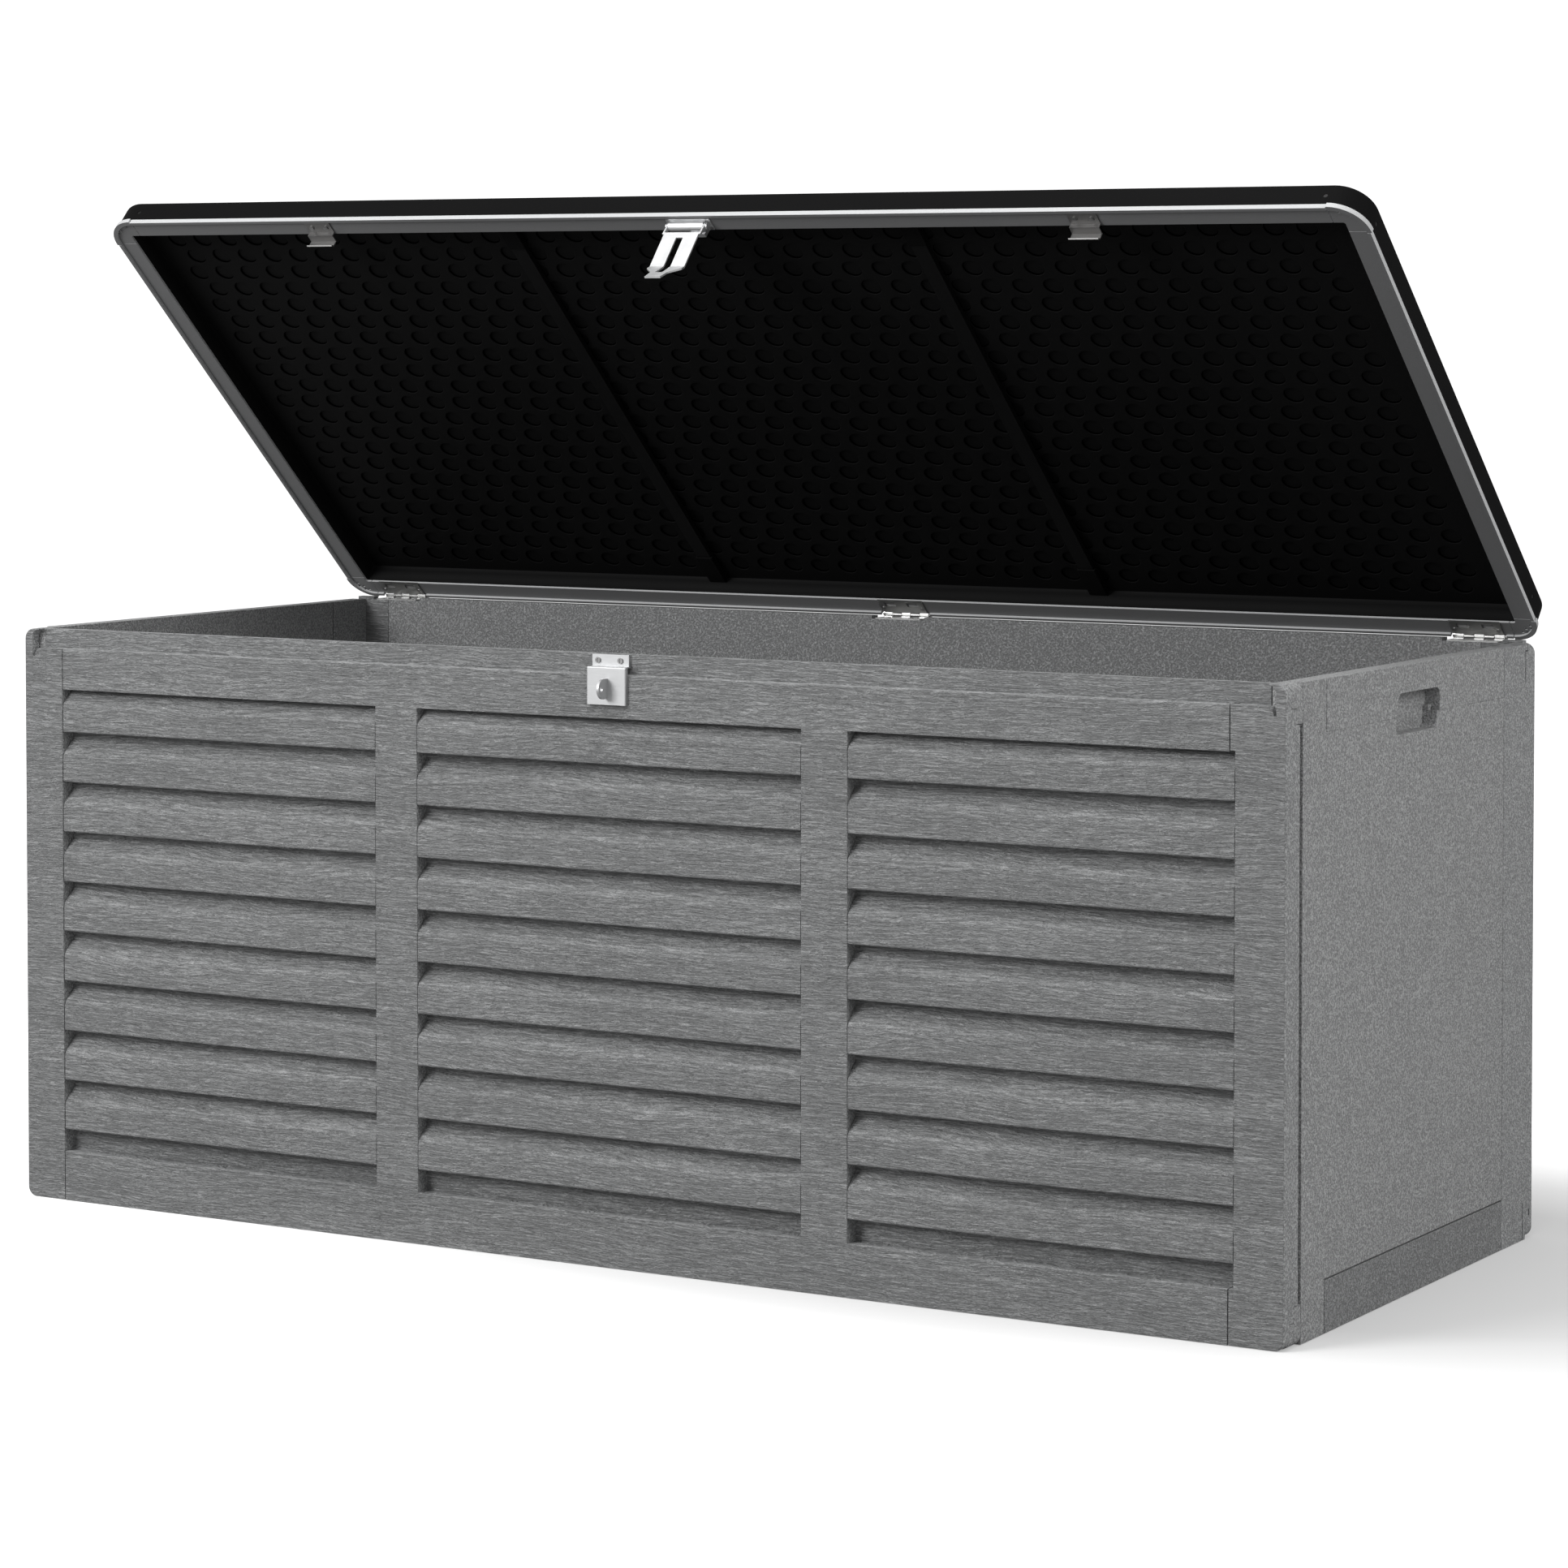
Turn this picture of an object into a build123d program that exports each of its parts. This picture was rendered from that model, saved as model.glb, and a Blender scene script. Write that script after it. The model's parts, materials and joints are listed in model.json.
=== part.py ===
from build123d import *
import math
import os

os.makedirs("parts", exist_ok=True)

# ---------------------------------------------------------------- dimensions
# Box: X is the long way, front faces -Y, origin at the centre of the footprint.
BOX_L, BOX_D, BOX_H = 1688.0, 705.0, 700.0
X1, Y1 = BOX_L / 2, BOX_D / 2
WALL = 22.0                      # double-wall panels
SKIN = 3.5                       # skin of a hollow moulding
STILE_W = 58.5                   # front face of a corner post
RETURN_D = 34.0                  # front post's return on the side
REAR_RETURN = 97.0               # rear post's return on the side
CORNER_R = 12.0                  # top and bottom outer corners of the posts
SEAM = 1.6                       # visible joint line between two mouldings
HAIR = 0.15                      # half of a tight joint

# Louvred front
RAIL_TOP_Z, RAIL_BOT_Z = 627.0, 60.0
BAYS = [(-785.5, -317.5), (-259.0, 259.0), (317.5, 785.5)]
FRONT_T = 23.0
RECESS = 19.0
SLATS, SLAT_PITCH = 9, 61.0
SLAT_TOP, SLAT_SLOPE, SLAT_FACE = 627.8, 18.9, 33.7
BAND_Z, BAND_D, BAND_END = 677.0, 12.0, 832.0   # set-back band along the top edge

# Side wall
SIDE_F, SIDE_G1, SIDE_G2 = 42.0, 103.0, 608.0   # distances from the front face
TOP_RAIL_H, SKIRT_H = 57.0, 58.0
GRIP_W, GRIP_TOP, GRIP_MID, GRIP_BOT, GRIP_D, GRIP_SHIFT = 117.0, 669.0, 643.0, 624.0, 18.0, 4.0

# Lid, in its closed place
LID_OPEN = 42.5                  # opening angle of the lid in the rest pose, degrees
HINGE_Y, HINGE_Z = Y1 + 6.5, 706.0
LID_X, LID_YF, LID_YR = 851.5, -375.7, 357.0
LIP_Z0, LEDGE_Z, LIP_Z1 = 701.0, 704.0, 707.0
SHELL_TOP, CROWN = 738.0, 4.0
SHELL_T = 3.0
RIM_RF, RIM_RR = 40.0, 32.0      # front and rear corner radii of the rim
RIM_W = 26.0
SKIN_Z, SKIN_T = 730.0, 2.5      # underside of the lid's inner skin, and its thickness
BARS = [-275.0, 275.0]
CATCHES = [-527.0, 516.0]
CATCH_SCREW_Y, CATCH_SCREW_DX = -361.5, (-10.5, 10.5)

# Hinges
HINGES = [-773.0, 0.0, 773.0]
KNUCKLE_R, PIN_R, PIN_CLEAR, LEAF_T, HINGE_W = 5.0, 2.5, 0.05, 1.5, 64.0
KNUCKLES = 5
BODY_SCREW_Y, BODY_SCREW_DX = 337.5, (-16.0, 16.0)
LID_SCREW_Y, LID_SCREW_DX = 345.0, (-27.5, 27.5)

# Hasp and staple
HASP_X, HASP_Y, HASP_Z = 4.5, -362.0, 697.5
HASP_IN = 3.0                    # strap leans this many degrees towards the box
BARREL_R, BARREL_L, HASP_PIN_R = 6.0, 47.0, 2.5
HASP_SCREW_Y, HASP_SCREW_DX = -354.0, (-27.5, 27.5)
STRAP_W, STRAP_T, STRAP_OFF = 47.0, 2.0, 4.5
STRAP_TOP, STRAP_BEND, STRAP_TIP, TIP_BEND = 13.5, 65.5, 34.7, 30.0
SLOT_W, SLOT_TOP, SLOT_TIP = 9.5, 21.5, 20.0
PLATE_Y, PLATE_T, PLATE_W, PLATE_X = -357.5, 1.5, 52.0, 6.0
TAB_Y = -344.5                   # front face of the screwed tab, inside the set-back band
LOOP_X, LOOP_Z, LOOP_T, LOOP_H, LOOP_OUT, EYE_R = 6.5, 661.5, 3.0, 23.0, 18.5, 3.0
PLATE_Z0, PLATE_Z1, TAB_X, TAB_W = 643.0, 686.0, 4.0, 24.5

# --------------------------------------------------------------- work planes
A = math.radians(LID_OPEN)
AH = math.radians(LID_OPEN - HASP_IN)
LID = Plane(origin=(0, HINGE_Y, HINGE_Z), x_dir=(1, 0, 0), z_dir=(0, math.sin(A), math.cos(A)))
_hy, _hz = HASP_Y - HINGE_Y, HASP_Z - HINGE_Z
HASP_AT = (HASP_X, HINGE_Y + _hy * math.cos(A) + _hz * math.sin(A), HINGE_Z - _hy * math.sin(A) + _hz * math.cos(A))
HASP = Plane(origin=HASP_AT, x_dir=(1, 0, 0), z_dir=(0, math.sin(AH), math.cos(AH)))


def slab(x0, x1, y0, y1, z0, z1, mode=Mode.ADD):
    """A block between two corners, in the part's own workplane."""
    with Locations(((x0 + x1) / 2, (y0 + y1) / 2, (z0 + z1) / 2)):
        Box(abs(x1 - x0), abs(y1 - y0), abs(z1 - z0), mode=mode)


def lid_slab(x0, x1, y0, y1, z0, z1, mode=Mode.ADD):
    """The same for a lid piece, in the closed lid's coordinates."""
    slab(x0, x1, y0 - HINGE_Y, y1 - HINGE_Y, z0 - HINGE_Z, z1 - HINGE_Z, mode)


def rod(x, y, z, r, h, direction="Z", mode=Mode.ADD):
    """A cylinder centred on a point, along X, Y or Z of the workplane."""
    turn = {"X": (0, 90, 0), "Y": (90, 0, 0), "Z": (0, 0, 0)}[direction]
    with Locations(Location((x, y, z), turn)):
        Cylinder(r, h, mode=mode)


def save(piece, name):
    piece.part.label = name
    export_step(piece.part, "parts/" + name + ".step")


# ------------------------------------------------------------ louvred front
def slat_points(k, inset):
    """Section of one slat in Y and Z, drawn in from its skin by inset."""
    top = SLAT_TOP - SLAT_PITCH * k
    ridge = top - SLAT_SLOPE
    low = ridge - SLAT_FACE
    f = -Y1
    if inset == 0:
        return [(f + RECESS + 1.0, top), (f, ridge), (f, low), (f + RECESS + 1.0, low)]
    s = inset
    return [(f + FRONT_T + 1, top - 1.35 * s - 3.4), (f + RECESS, top - 1.35 * s - 0.2), (f + s, ridge - 0.42 * s), (f + s, low + s), (f + FRONT_T + 1, low + s)]


STAPLE_SCREWS = [(-12.5, 692.6), (17.5, 692.6)]
with BuildPart() as front_panel:
    slab(BAYS[0][0] + 0.0, 779.0 - SEAM / 2, -Y1, -Y1 + FRONT_T, 0, BOX_H)
    slab(779.0 - SEAM / 2, BAYS[2][1], -Y1 + RECESS, -Y1 + FRONT_T, RAIL_BOT_Z, RAIL_TOP_Z)
    slab(779.0 - SEAM / 2, BAYS[2][1], -Y1, -Y1 + FRONT_T, BAND_Z + 0.8, BOX_H)
    # recessed bays
    for x0, x1 in BAYS:
        slab(x0, x1, -Y1, -Y1 + RECESS, RAIL_BOT_Z, RAIL_TOP_Z, Mode.SUBTRACT)
    # set-back band along the top edge, with a softened lower lip
    slab(-900, 900, -Y1, -Y1 + BAND_D, BAND_Z, BOX_H, Mode.SUBTRACT)
    # slats, each hollow from behind with a web at mid-length
    for x0, x1 in BAYS:
        a, b = x0 + 0.9, x1 - 0.9
        mid = (x0 + x1) / 2
        with BuildSketch(Plane.YZ.offset(a)):
            for k in range(SLATS):
                with BuildSketch(Plane.XY, mode=Mode.PRIVATE) as s:
                    with BuildLine():
                        Polyline(*slat_points(k, 0), close=True)
                    make_face()
                    nose = s.vertices().filter_by(lambda v: abs(v.X + Y1) < 0.01).sort_by(Axis.Y)
                    fillet(nose[-1], 12.0)
                    nose = s.vertices().filter_by(lambda v: abs(v.X + Y1) < 0.01).sort_by(Axis.Y)
                    fillet(nose[0], 2.2)
                add(s.sketch)
        extrude(amount=b - a)
        for c, d in ((x0 + 4.5, mid - 2), (mid + 2, x1 - 4.5)):
            with BuildSketch(Plane.YZ.offset(c)):
                for k in range(SLATS):
                    with BuildSketch(Plane.XY, mode=Mode.PRIVATE) as s:
                        with BuildLine():
                            Polyline(*slat_points(k, SKIN), close=True)
                        make_face()
                    add(s.sketch)
            extrude(amount=d - c, mode=Mode.SUBTRACT)
    # hollow backs of the rails and mullions
    for i in range(8):
        c = -772 + i * 193
        slab(c, c + 187 if i < 7 else 773, -Y1 + SKIN, -Y1 + FRONT_T, 6, RAIL_BOT_Z - 6, Mode.SUBTRACT)
        if not -200 < c < 190:
            slab(c, c + 187 if i < 7 else 773, -Y1 + SKIN, -Y1 + FRONT_T, RAIL_TOP_Z + 6, BAND_Z - 5, Mode.SUBTRACT)
    for m in (-288.25, 288.25):
        for z0, z1 in ((72, 250), (256, 434), (440, 618)):
            slab(m - 25, m + 25, -Y1 + SKIN, -Y1 + FRONT_T, z0, z1, Mode.SUBTRACT)
    # pilot holes for the staple plate
    for x, z in STAPLE_SCREWS:
        rod(x, -Y1 + BAND_D + 4.5, z, 1.5, 9.2, "Y", Mode.SUBTRACT)
    edges = front_panel.edges().filter_by(Axis.X).filter_by(lambda e: abs(e.center().Y + Y1) < 0.01 and abs(e.center().Z - BAND_Z) < 0.01)
    fillet(edges, 2.0)
    edges = front_panel.edges().filter_by(lambda e: abs(e.center().Y + Y1) < 0.01 and e.length > 40 and (abs(e.center().Z - RAIL_TOP_Z) < 0.01 or abs(e.center().Z - RAIL_BOT_Z) < 0.01))
    fillet(edges, 1.0)
    # half of the joint line beside the left stile
    slab(BAYS[0][0] - 1, BAYS[0][0] + 0.7, -Y1 - 1, -Y1 + 3.5, -1, BAND_Z + 1, Mode.SUBTRACT)
save(front_panel, "front_panel")


# -------------------------------------------------------------- corner posts
def front_post(sign):
    """Front stile with its return, open from below. sign is +1 on the right."""
    with BuildPart() as post:
        with BuildSketch(Plane.XZ.offset(Y1)) as face:
            with Locations((sign * (X1 - STILE_W / 2), BOX_H / 2)):
                Rectangle(STILE_W, BOX_H)
            outer = [v for v in face.vertices() if abs(abs(v.X) - X1) < 0.01]
            fillet(outer, CORNER_R)
        extrude(amount=-WALL)
        with BuildSketch(Plane.XZ.offset(Y1)) as side:
            with Locations((sign * (X1 - WALL / 2), BOX_H / 2)):
                Rectangle(WALL, BOX_H)
            outer = [v for v in side.vertices() if abs(abs(v.X) - X1) < 0.01]
            fillet(outer, CORNER_R)
        extrude(amount=-RETURN_D)
        if sign > 0:
            slab(779.0 + SEAM / 2, X1 - STILE_W, -Y1, -Y1 + WALL, RAIL_TOP_Z + 1.2, BAND_Z)
            slab(779.0 + SEAM / 2, X1 - STILE_W, -Y1, -Y1 + WALL, 0, RAIL_BOT_Z)
        # stepped ends of the return
        xa, xb = (X1 - WALL - 1, X1 + 1) if sign > 0 else (-X1 - 1, -X1 + WALL + 1)
        slab(xa, xb, -Y1 + 23.5, -Y1 + RETURN_D + 1, 656, BOX_H + 1, Mode.SUBTRACT)
        slab(xa, xb, -Y1 + 12, -Y1 + RETURN_D + 1, 673, BOX_H + 1, Mode.SUBTRACT)
        slab(xa, xb, -Y1 + 23.5, -Y1 + RETURN_D + 1, -1, 44, Mode.SUBTRACT)
        slab(xa, xb, -Y1 + 12, -Y1 + RETURN_D + 1, -1, 27, Mode.SUBTRACT)
        # keep the stile itself whole behind the steps
        inner = (X1 - STILE_W, X1 - WALL) if sign > 0 else (-X1 + WALL, -X1 + STILE_W)
        # set-back band with its swept end
        with BuildSketch(Plane.XZ.offset(Y1)) as band:
            with BuildLine():
                e = BAND_END
                s = sign
                Polyline((s * 770, BAND_Z), (s * (e - 14), BAND_Z))
                ThreePointArc((s * (e - 14), BAND_Z), (s * (e - 6.5), BAND_Z - 2.8), (s * (e - 3.6), BAND_Z - 9.5))
                ThreePointArc((s * (e - 3.6), BAND_Z - 9.5), (s * (e - 1.8), BAND_Z - 11.0), (s * e, BAND_Z - 9.5))
                Polyline((s * e, BAND_Z - 9.5), (s * e, 690))
                ThreePointArc((s * e, 690), (s * (e - 2.6), 696.6), (s * (e - 9), 699))
                Polyline((s * (e - 9), 699), (s * (e - 9), BOX_H + 1), (s * 770, BOX_H + 1), (s * 770, BAND_Z))
            make_face()
        extrude(amount=-BAND_D, mode=Mode.SUBTRACT)
        # deep relief at the band's end
        slab(s * (e - 7), s * e, -Y1 + BAND_D - 0.5, -Y1 + WALL - 3.5, BAND_Z + 1, 694, Mode.SUBTRACT)
        if sign < 0:
            slab(-X1 + STILE_W - 0.7, -X1 + STILE_W + 1, -Y1 - 1, -Y1 + 3.5, -1, BAND_Z + 1, Mode.SUBTRACT)
        # hollow moulding, open at the foot
        lo, hi = (X1 - STILE_W + SKIN, X1 - WALL - 1) if sign > 0 else (-X1 + WALL + 1, -X1 + STILE_W - SKIN)
        slab(lo, hi, -Y1 + SKIN, -Y1 + WALL - SKIN, -1, 655, Mode.SUBTRACT)
        edges = post.edges().filter_by(Axis.Z).filter_by(lambda q: abs(abs(q.center().X) - X1) < 0.01 and abs(q.center().Y + Y1) < 0.01)
        fillet(edges, 1.8)
    return post


corner_post_front_left = front_post(-1)
save(corner_post_front_left, "corner_post_front_left")
corner_post_front_right = front_post(1)
save(corner_post_front_right, "corner_post_front_right")


def rear_post(sign):
    """Rear stile with a wide return on the side."""
    with BuildPart() as post:
        with BuildSketch(Plane.XZ.offset(-Y1)) as face:
            with Locations((sign * (X1 - STILE_W / 2), BOX_H / 2)):
                Rectangle(STILE_W, BOX_H)
            fillet([v for v in face.vertices() if abs(abs(v.X) - X1) < 0.01], CORNER_R)
        extrude(amount=WALL)
        xa, xb = (X1 - WALL, X1) if sign > 0 else (-X1, -X1 + WALL)
        slab(xa, xb, -Y1 + SIDE_G2 + SEAM / 2, Y1 - WALL, 0, BOX_H)
        # J-shaped joint lines at the top and the foot
        xo = (X1 - 4, X1 + 1) if sign > 0 else (-X1 - 1, -X1 + 4)
        slab(*xo, Y1 - 31.2, Y1 - 29.2, 656, 693, Mode.SUBTRACT)
        slab(*xo, Y1 - 29.2, Y1 - 23.0, 691.5, 693, Mode.SUBTRACT)
        slab(*xo, Y1 - 24.4, Y1 - 23.0, 691.5, BOX_H + 1, Mode.SUBTRACT)
        slab(*xo, Y1 - 31.2, Y1 - 29.2, -1, 44, Mode.SUBTRACT)
        slab(*xo, Y1 - 12, Y1 - 9, 26, 34, Mode.SUBTRACT)
        # end of the sealing bead
        slab(sign * 811, sign * 836, 333, 344, BOX_H - 1, BOX_H + 3.6)
        # hollow moulding, open at the foot
        xi = (X1 - WALL + SKIN, X1 - SKIN - 1.5) if sign > 0 else (-X1 + SKIN + 1.5, -X1 + WALL - SKIN)
        slab(*xi, -Y1 + SIDE_G2 + 5, Y1 - 36, -1, 694, Mode.SUBTRACT)
        xf = (X1 - STILE_W + SKIN, X1 - WALL) if sign > 0 else (-X1 + WALL, -X1 + STILE_W - SKIN)
        slab(*xf, Y1 - WALL + SKIN, Y1 - SKIN, -1, 686, Mode.SUBTRACT)
        # pilot hole for the hinge screw that falls on the post
        rod(sign * (HINGES[2] + BODY_SCREW_DX[1]), BODY_SCREW_Y, BOX_H - 4.4, 1.5, 9.0, "Z", Mode.SUBTRACT)
        edges = post.edges().filter_by(Axis.Z).filter_by(lambda q: abs(abs(q.center().X) - X1) < 0.01 and abs(q.center().Y - Y1) < 0.01)
        fillet(edges, 1.8)
        fillet(post.edges().filter_by(Axis.Z).filter_by(lambda q: abs(abs(q.center().X) - X1) < 0.01 and abs(q.center().Y - (-Y1 + SIDE_G2 + SEAM / 2)) < 0.01), 0.9)
    return post


corner_post_rear_left = rear_post(-1)
save(corner_post_rear_left, "corner_post_rear_left")
corner_post_rear_right = rear_post(1)
save(corner_post_rear_right, "corner_post_rear_right")


def corner_connector(sign):
    """Column between the front post and the side wall, with stepped end blocks that come flush."""
    with BuildPart() as block:
        xin = sign * (X1 - WALL)
        slab(xin, sign * (X1 - 12), -Y1 + RETURN_D + 0.8, -Y1 + SIDE_F - 0.8, 0, BOX_H)
        for z0, z1, z2, z3 in ((656.8, BOX_H, 673.8, BOX_H), (0, 43.2, 0, 26.2)):
            slab(xin, sign * X1, -Y1 + 24.3, -Y1 + SIDE_F - 0.8, z0, z1)
            slab(xin, sign * X1, -Y1 + 12.8, -Y1 + SIDE_F - 0.8, z2, z3)
        for z in (BOX_H, 0):
            tip = block.edges().filter_by(Axis.Y).filter_by(lambda q: abs(q.center().X - sign * X1) < 0.01 and abs(q.center().Z - z) < 0.01)
            fillet(tip, 10.0)
        crisp = block.edges().filter_by(Axis.Z).filter_by(lambda q: abs(q.center().X - sign * X1) < 0.01)
        fillet(crisp, 0.8)
    return block


corner_connector_left = corner_connector(-1)
save(corner_connector_left, "corner_connector_left")
corner_connector_right = corner_connector(1)
save(corner_connector_right, "corner_connector_right")


# --------------------------------------------------------------- side walls
def side_wall(sign):
    """Main side moulding: a full-height strip in front and the field behind it."""
    xo, xi, xm = sign * X1, sign * (X1 - WALL), sign * (X1 - WALL / 2)
    f, g1, g2 = -Y1 + SIDE_F, -Y1 + SIDE_G1, -Y1 + SIDE_G2
    h = SEAM / 2
    with BuildPart() as wall:
        slab(xi, xo, f, g1 - h, 0, BOX_H)
        slab(xi, xo, g1 - h - 1, g2 - h, SKIRT_H + h, GRIP_MID - HAIR)
        # tongues that run behind the strips above and below
        slab(xi, xm, g1 - h - 1, g2 - h, GRIP_MID - h - 1, GRIP_MID + 6)
        slab(xi, xm, g1 - h - 1, g2 - h, SKIRT_H - 6, SKIRT_H + h + 1)
        # hollow moulding
        ca, cb = sign * (X1 - WALL + SKIN), sign * (X1 - SKIN)
        slab(ca, cb, f + SKIN, g1 - 6, -1, 694, Mode.SUBTRACT)
        for y0, y1, top in ((g1 + 4, -66, 630), (-60, 60, 612), (66, g2 - 6, 630)):
            slab(ca, cb, y0, y1, SKIRT_H - 7, top, Mode.SUBTRACT)
        # lower half of the hand-hold
        with BuildSketch(Plane.YZ.offset(xo)) as grip:
            with Locations((-GRIP_SHIFT, (GRIP_BOT + GRIP_MID + 7) / 2)):
                Rectangle(GRIP_W, GRIP_MID + 7 - GRIP_BOT)
            fillet([v for v in grip.vertices() if abs(v.Y - GRIP_BOT) < 0.01], 9.0)
        extrude(amount=-sign * GRIP_D, mode=Mode.SUBTRACT)
        rim = wall.edges().filter_by(lambda q: abs(q.center().X - xo) < 0.01 and abs(q.center().Z - GRIP_MID) > 0.5)
        fillet(rim, 0.7)
    return wall


side_panel_left = side_wall(-1)
save(side_panel_left, "side_panel_left")
side_panel_right = side_wall(1)
save(side_panel_right, "side_panel_right")


def side_rail(sign):
    """Strip along the top of the side wall with the upper half of the hand-hold."""
    xo, xi, xm = sign * X1, sign * (X1 - WALL), sign * (X1 - WALL / 2 + 0.2)
    y0, y1 = -Y1 + SIDE_G1 + SEAM / 2, -Y1 + SIDE_G2 - SEAM / 2
    with BuildPart() as rail:
        slab(xm, xo, y0, y1, GRIP_MID + HAIR, BOX_H)
        slab(xi, xo, y0, y1, GRIP_MID + 6.2, BOX_H)
        ca, cb = sign * (X1 - WALL + SKIN), sign * (X1 - SKIN)
        slab(ca, cb, y0 + 5, -66, GRIP_MID + 5, 694, Mode.SUBTRACT)
        slab(ca, cb, 70, y1 - 5, GRIP_MID + 5, 694, Mode.SUBTRACT)
        with BuildSketch(Plane.YZ.offset(xo)) as grip:
            with Locations((GRIP_SHIFT, (GRIP_MID - 1 + GRIP_TOP) / 2)):
                Rectangle(GRIP_W, GRIP_TOP - GRIP_MID + 1)
            fillet([v for v in grip.vertices() if abs(v.Y - GRIP_TOP) < 0.01], 9.0)
        extrude(amount=-sign * GRIP_D, mode=Mode.SUBTRACT)
        rim = rail.edges().filter_by(lambda q: abs(q.center().X - xo) < 0.01 and abs(q.center().Z - GRIP_MID) > 0.5)
        fillet(rim, 0.7)
    return rail


side_top_rail_left = side_rail(-1)
save(side_top_rail_left, "side_top_rail_left")
side_top_rail_right = side_rail(1)
save(side_top_rail_right, "side_top_rail_right")


def side_foot(sign):
    """Strip along the foot of the side wall."""
    xo, xi, xm = sign * X1, sign * (X1 - WALL), sign * (X1 - WALL / 2 + 0.2)
    y0, y1 = -Y1 + SIDE_G1 + SEAM / 2, -Y1 + SIDE_G2 - SEAM / 2
    with BuildPart() as foot:
        slab(xm, xo, y0, y1, 0, SKIRT_H - SEAM / 2)
        slab(xi, xo, y0, y1, 0, SKIRT_H - 6.2)
        ca, cb = sign * (X1 - WALL + SKIN), sign * (X1 - SKIN)
        for a, b in ((y0 + 5, -80), (-74, 74), (80, y1 - 5)):
            slab(ca, cb, a, b, -1, SKIRT_H - 11, Mode.SUBTRACT)
        rim = foot.edges().filter_by(lambda q: abs(q.center().X - xo) < 0.01)
        fillet(rim, 0.7)
    return foot


side_skirt_left = side_foot(-1)
save(side_skirt_left, "side_skirt_left")
side_skirt_right = side_foot(1)
save(side_skirt_right, "side_skirt_right")

# --------------------------------------------------------------- back panel
with BuildPart() as back_panel:
    bx = X1 - STILE_W - SEAM / 2
    slab(-bx, bx, Y1 - WALL, Y1, 0, BOX_H)
    for x0, x1 in BAYS:
        a, b = max(x0, -bx + 60), min(x1, bx - 60)
        with BuildSketch(Plane.XZ.offset(-Y1)) as bay:
            with Locations(((a + b) / 2, (RAIL_TOP_Z + RAIL_BOT_Z) / 2)):
                Rectangle(b - a, RAIL_TOP_Z - RAIL_BOT_Z)
            fillet(bay.vertices(), 14)
        extrude(amount=3.0, mode=Mode.SUBTRACT)
    for i in range(6):
        c = -bx + 8 + i * 262.2
        slab(c, c + 255, Y1 - WALL + 2.8, Y1 - 5.8, -1, 688, Mode.SUBTRACT)
    for h in HINGES:
        for dx in BODY_SCREW_DX:
            if abs(h + dx) < X1 - STILE_W:
                rod(h + dx, BODY_SCREW_Y, BOX_H - 4.4, 1.5, 9.0, "Z", Mode.SUBTRACT)
    fillet(back_panel.edges().filter_by(Axis.X).filter_by(lambda q: abs(q.center().Y - Y1) < 0.01 and abs(q.center().Z - BOX_H) < 0.01), 1.5)
    # sealing bead along the top edge, interrupted at the hinges
    for x0, x1 in ((-735, -38), (38, 735)):
        slab(x0, x1, 333, 349, BOX_H - 1, BOX_H + 3.6)
save(back_panel, "back_panel")

# -------------------------------------------------------------- floor panel
with BuildPart() as floor_panel:
    slab(-X1 + WALL + 0.5, X1 - WALL - 0.5, -Y1 + FRONT_T + 0.5, Y1 - WALL - 0.5, 0, 26)
    # clear the post corners
    for sx in (-1, 1):
        slab(sx * 784.5, sx * 823, -Y1, -Y1 + SIDE_F + 0.5, -1, 27, Mode.SUBTRACT)
    n_x, n_y = 8, 4
    px, py = 1624.0 / n_x, 620.0 / n_y
    for i in range(n_x):
        for j in range(n_y):
            cx = -812 + px * (i + 0.5)
            cy = -305 + py * (j + 0.5)
            slab(cx - px / 2 + 2, cx + px / 2 - 2, cy - py / 2 + 2, cy + py / 2 - 2, -1, 22.8, Mode.SUBTRACT)
save(floor_panel, "floor_panel")

# ------------------------------------------------------ staple on the front
with BuildPart() as staple_plate:
    band_y = -Y1 + BAND_D
    # folded cap, open at the back
    xa, xb = PLATE_X - PLATE_W / 2, PLATE_X + PLATE_W / 2
    ta, tb = TAB_X - TAB_W, TAB_X + TAB_W
    slab(xa, xb, PLATE_Y, -Y1, PLATE_Z0, PLATE_Z1)
    slab(xa + PLATE_T, xb - PLATE_T, PLATE_Y + PLATE_T, -Y1 + 1, PLATE_Z0 - 1, PLATE_Z1 - PLATE_T, Mode.SUBTRACT)
    # shelf back over the rail and the screwed tab above it
    slab(ta, tb, -Y1 - 1, TAB_Y + PLATE_T, PLATE_Z1 - PLATE_T, PLATE_Z1)
    slab(ta, tb, TAB_Y, TAB_Y + PLATE_T, PLATE_Z1 - PLATE_T, BOX_H - 0.5)
    slab(ta, ta + PLATE_T, TAB_Y, band_y, PLATE_Z1 - PLATE_T, BOX_H - 0.5)
    slab(tb - PLATE_T, tb, TAB_Y, band_y, PLATE_Z1 - PLATE_T, BOX_H - 0.5)
    for x, z in STAPLE_SCREWS:
        rod(x, TAB_Y + PLATE_T / 2, z, 1.8, PLATE_T + 1, "Y", Mode.SUBTRACT)
    fillet(staple_plate.edges().filter_by(Axis.X).filter_by(lambda q: abs(q.center().Y - PLATE_Y) < 0.01 and q.center().Z > PLATE_Z1 - 0.1), 1.4)
    fillet(staple_plate.edges().filter_by(Axis.Z).filter_by(lambda q: abs(q.center().Y - PLATE_Y) < 0.01), 1.2)
save(staple_plate, "staple_plate")

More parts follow.
